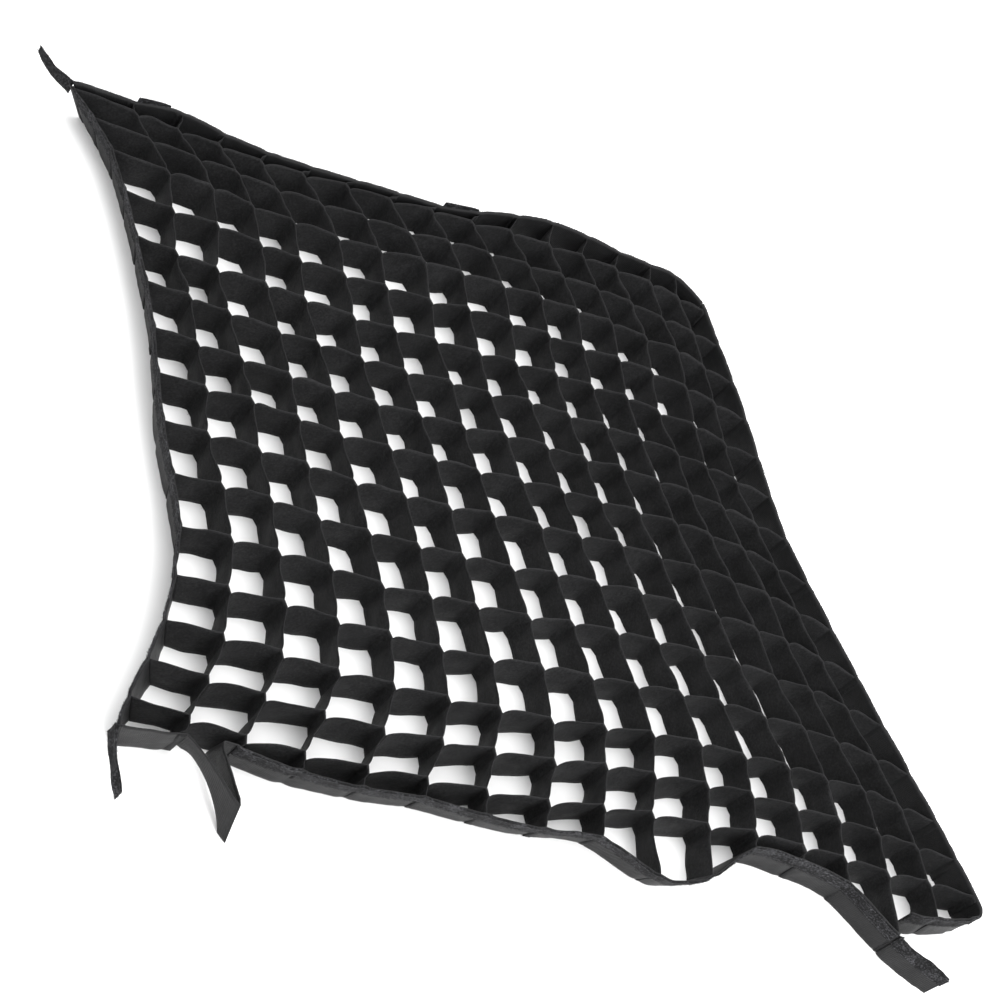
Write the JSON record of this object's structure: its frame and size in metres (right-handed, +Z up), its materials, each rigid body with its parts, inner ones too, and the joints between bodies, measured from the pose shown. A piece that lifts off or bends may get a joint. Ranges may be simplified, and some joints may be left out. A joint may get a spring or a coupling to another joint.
{
  "type": "fabric honeycomb grid",
  "caption": "Soft black nylon egg-crate grid for a square softbox: crossing strips sewn into square cells, edged by four bands with pile tape, lying loose and skewed with frayed tape ends.",
  "frame": {"origin": "centre of the plan bounding box, on the surface the grid lies on", "axes": "+X along the long top and bottom bands, +Y from the bottom band to the top band, +Z up along the depth of the cells"},
  "size_m": [1.0172, 0.8248, 0.042],
  "materials": {
    "core_nylon": "thin black woven nylon, coated, faint sheen, cut edges slightly paler",
    "edge_band": "black ribbed nylon band, satin, sewn through at every cell",
    "pile_tape": "napped loop pile tape, dull charcoal, fuzzy surface and frayed ends"
  },
  "bodies": {
    "grid": {"wall_strip_01": "core_nylon", "wall_strip_02": "core_nylon", "wall_strip_03": "core_nylon", "wall_strip_04": "core_nylon", "wall_strip_05": "core_nylon", "wall_strip_06": "core_nylon", "wall_strip_07": "core_nylon", "wall_strip_08": "core_nylon", "wall_strip_09": "core_nylon", "wall_strip_10": "core_nylon", "wall_strip_11": "core_nylon", "wall_strip_12": "core_nylon", "wall_strip_13": "core_nylon", "wall_strip_14": "core_nylon", "wall_strip_15": "core_nylon", "wall_strip_16": "core_nylon", "wall_strip_17": "core_nylon", "wall_strip_18": "core_nylon", "wall_strip_19": "core_nylon", "wall_strip_20": "core_nylon", "wall_strip_21": "core_nylon", "wall_strip_22": "core_nylon", "wall_strip_23": "core_nylon", "wall_strip_24": "core_nylon", "wall_strip_25": "core_nylon", "wall_strip_26": "core_nylon", "wall_strip_27": "core_nylon", "wall_strip_28": "core_nylon", "wall_strip_29": "core_nylon", "wall_strip_30": "core_nylon", "top_band": "edge_band", "top_pile_tape": "pile_tape", "right_band": "edge_band", "right_pile_tape": "pile_tape", "bottom_band": "edge_band", "bottom_pile_tape": "pile_tape", "left_band": "edge_band", "left_pile_tape": "pile_tape"},
    "top_left_tail": {"top_left_tail_pile_tape": "pile_tape"},
    "bottom_left_tail": {"bottom_left_tail_pile_tape": "pile_tape"},
    "bottom_right_tail": {"bottom_right_tail_band": "edge_band", "bottom_right_tail_pile_tape": "pile_tape"}
  },
  "joints": [
    {"name": "top_left_tail_bend", "type": "hinge", "parent": "grid", "child": "top_left_tail", "pos_m": [-0.47601, 0.36573, 0], "axis": [0, 0, 1], "range_deg": [-70, 70]},
    {"name": "bottom_left_tail_bend", "type": "hinge", "parent": "grid", "child": "bottom_left_tail", "pos_m": [-0.38301, -0.33127, 0], "axis": [0, 0, 1], "range_deg": [-60, 40]},
    {"name": "bottom_right_tail_bend", "type": "hinge", "parent": "grid", "child": "bottom_right_tail", "pos_m": [0.40199, -0.38127, 0], "axis": [0, 0, 1], "range_deg": [-70, 25]}
  ]
}
